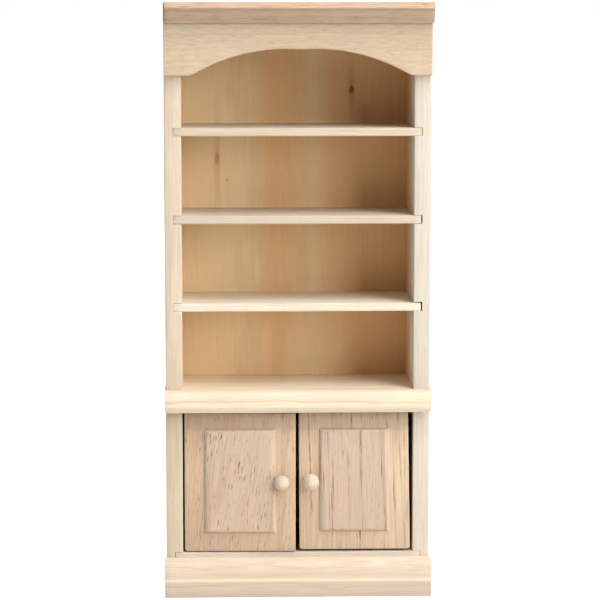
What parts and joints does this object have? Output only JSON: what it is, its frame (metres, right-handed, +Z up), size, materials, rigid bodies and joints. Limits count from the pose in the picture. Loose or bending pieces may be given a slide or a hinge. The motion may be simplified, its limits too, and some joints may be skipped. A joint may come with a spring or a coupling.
{
  "type": "miniature bookcase",
  "caption": "Dolls house bookcase in bare wood: open shelves under an arched valance and crown, over a thick counter and a cupboard with raised-panel doors on pins.",
  "frame": {"origin": "on the surface it stands on, at the middle of its width and of its depth over the crown", "axes": "+Z up, the doors and the open shelves face -Y, +X to the right seen from the front"},
  "size_m": [0.08, 0.0396, 0.1772],
  "materials": {
    "case_wood": "bare, sanded",
    "back_wood": "bare, sanded",
    "door_wood": "bare, sanded",
    "knob_wood": "bare, turned",
    "pin_steel": "drawn wire"
  },
  "bodies": {
    "case": {"lower_side_left": "case_wood", "lower_side_right": "case_wood", "bottom_board": "case_wood", "counter_top": "case_wood", "upper_side_left": "case_wood", "upper_side_right": "case_wood", "shelf_lower": "case_wood", "shelf_middle": "case_wood", "shelf_top": "case_wood", "top_board": "case_wood", "valance": "case_wood", "crown_moulding": "case_wood", "base_moulding": "case_wood", "back_panel_lower": "back_wood", "back_panel_upper": "back_wood", "back_brads": "pin_steel", "hinge_pin_left_bottom": "pin_steel", "hinge_pin_left_top": "pin_steel", "hinge_pin_right_bottom": "pin_steel", "hinge_pin_right_top": "pin_steel"},
    "left_door": {"door_left": "door_wood", "door_panel_left": "door_wood", "knob_left": "knob_wood"},
    "right_door": {"door_right": "door_wood", "door_panel_right": "door_wood", "knob_right": "knob_wood"}
  },
  "joints": [
    {"name": "left_door_hinge", "type": "hinge", "parent": "case", "child": "left_door", "pos_m": [-0.0323, -0.0118, 0.033], "axis": [0, 0, -1], "range_deg": [-1.4, 92.6]},
    {"name": "right_door_hinge", "type": "hinge", "parent": "case", "child": "right_door", "pos_m": [0.03215, -0.0118, 0.033], "axis": [0, 0, 1], "range_deg": [0, 94]}
  ]
}
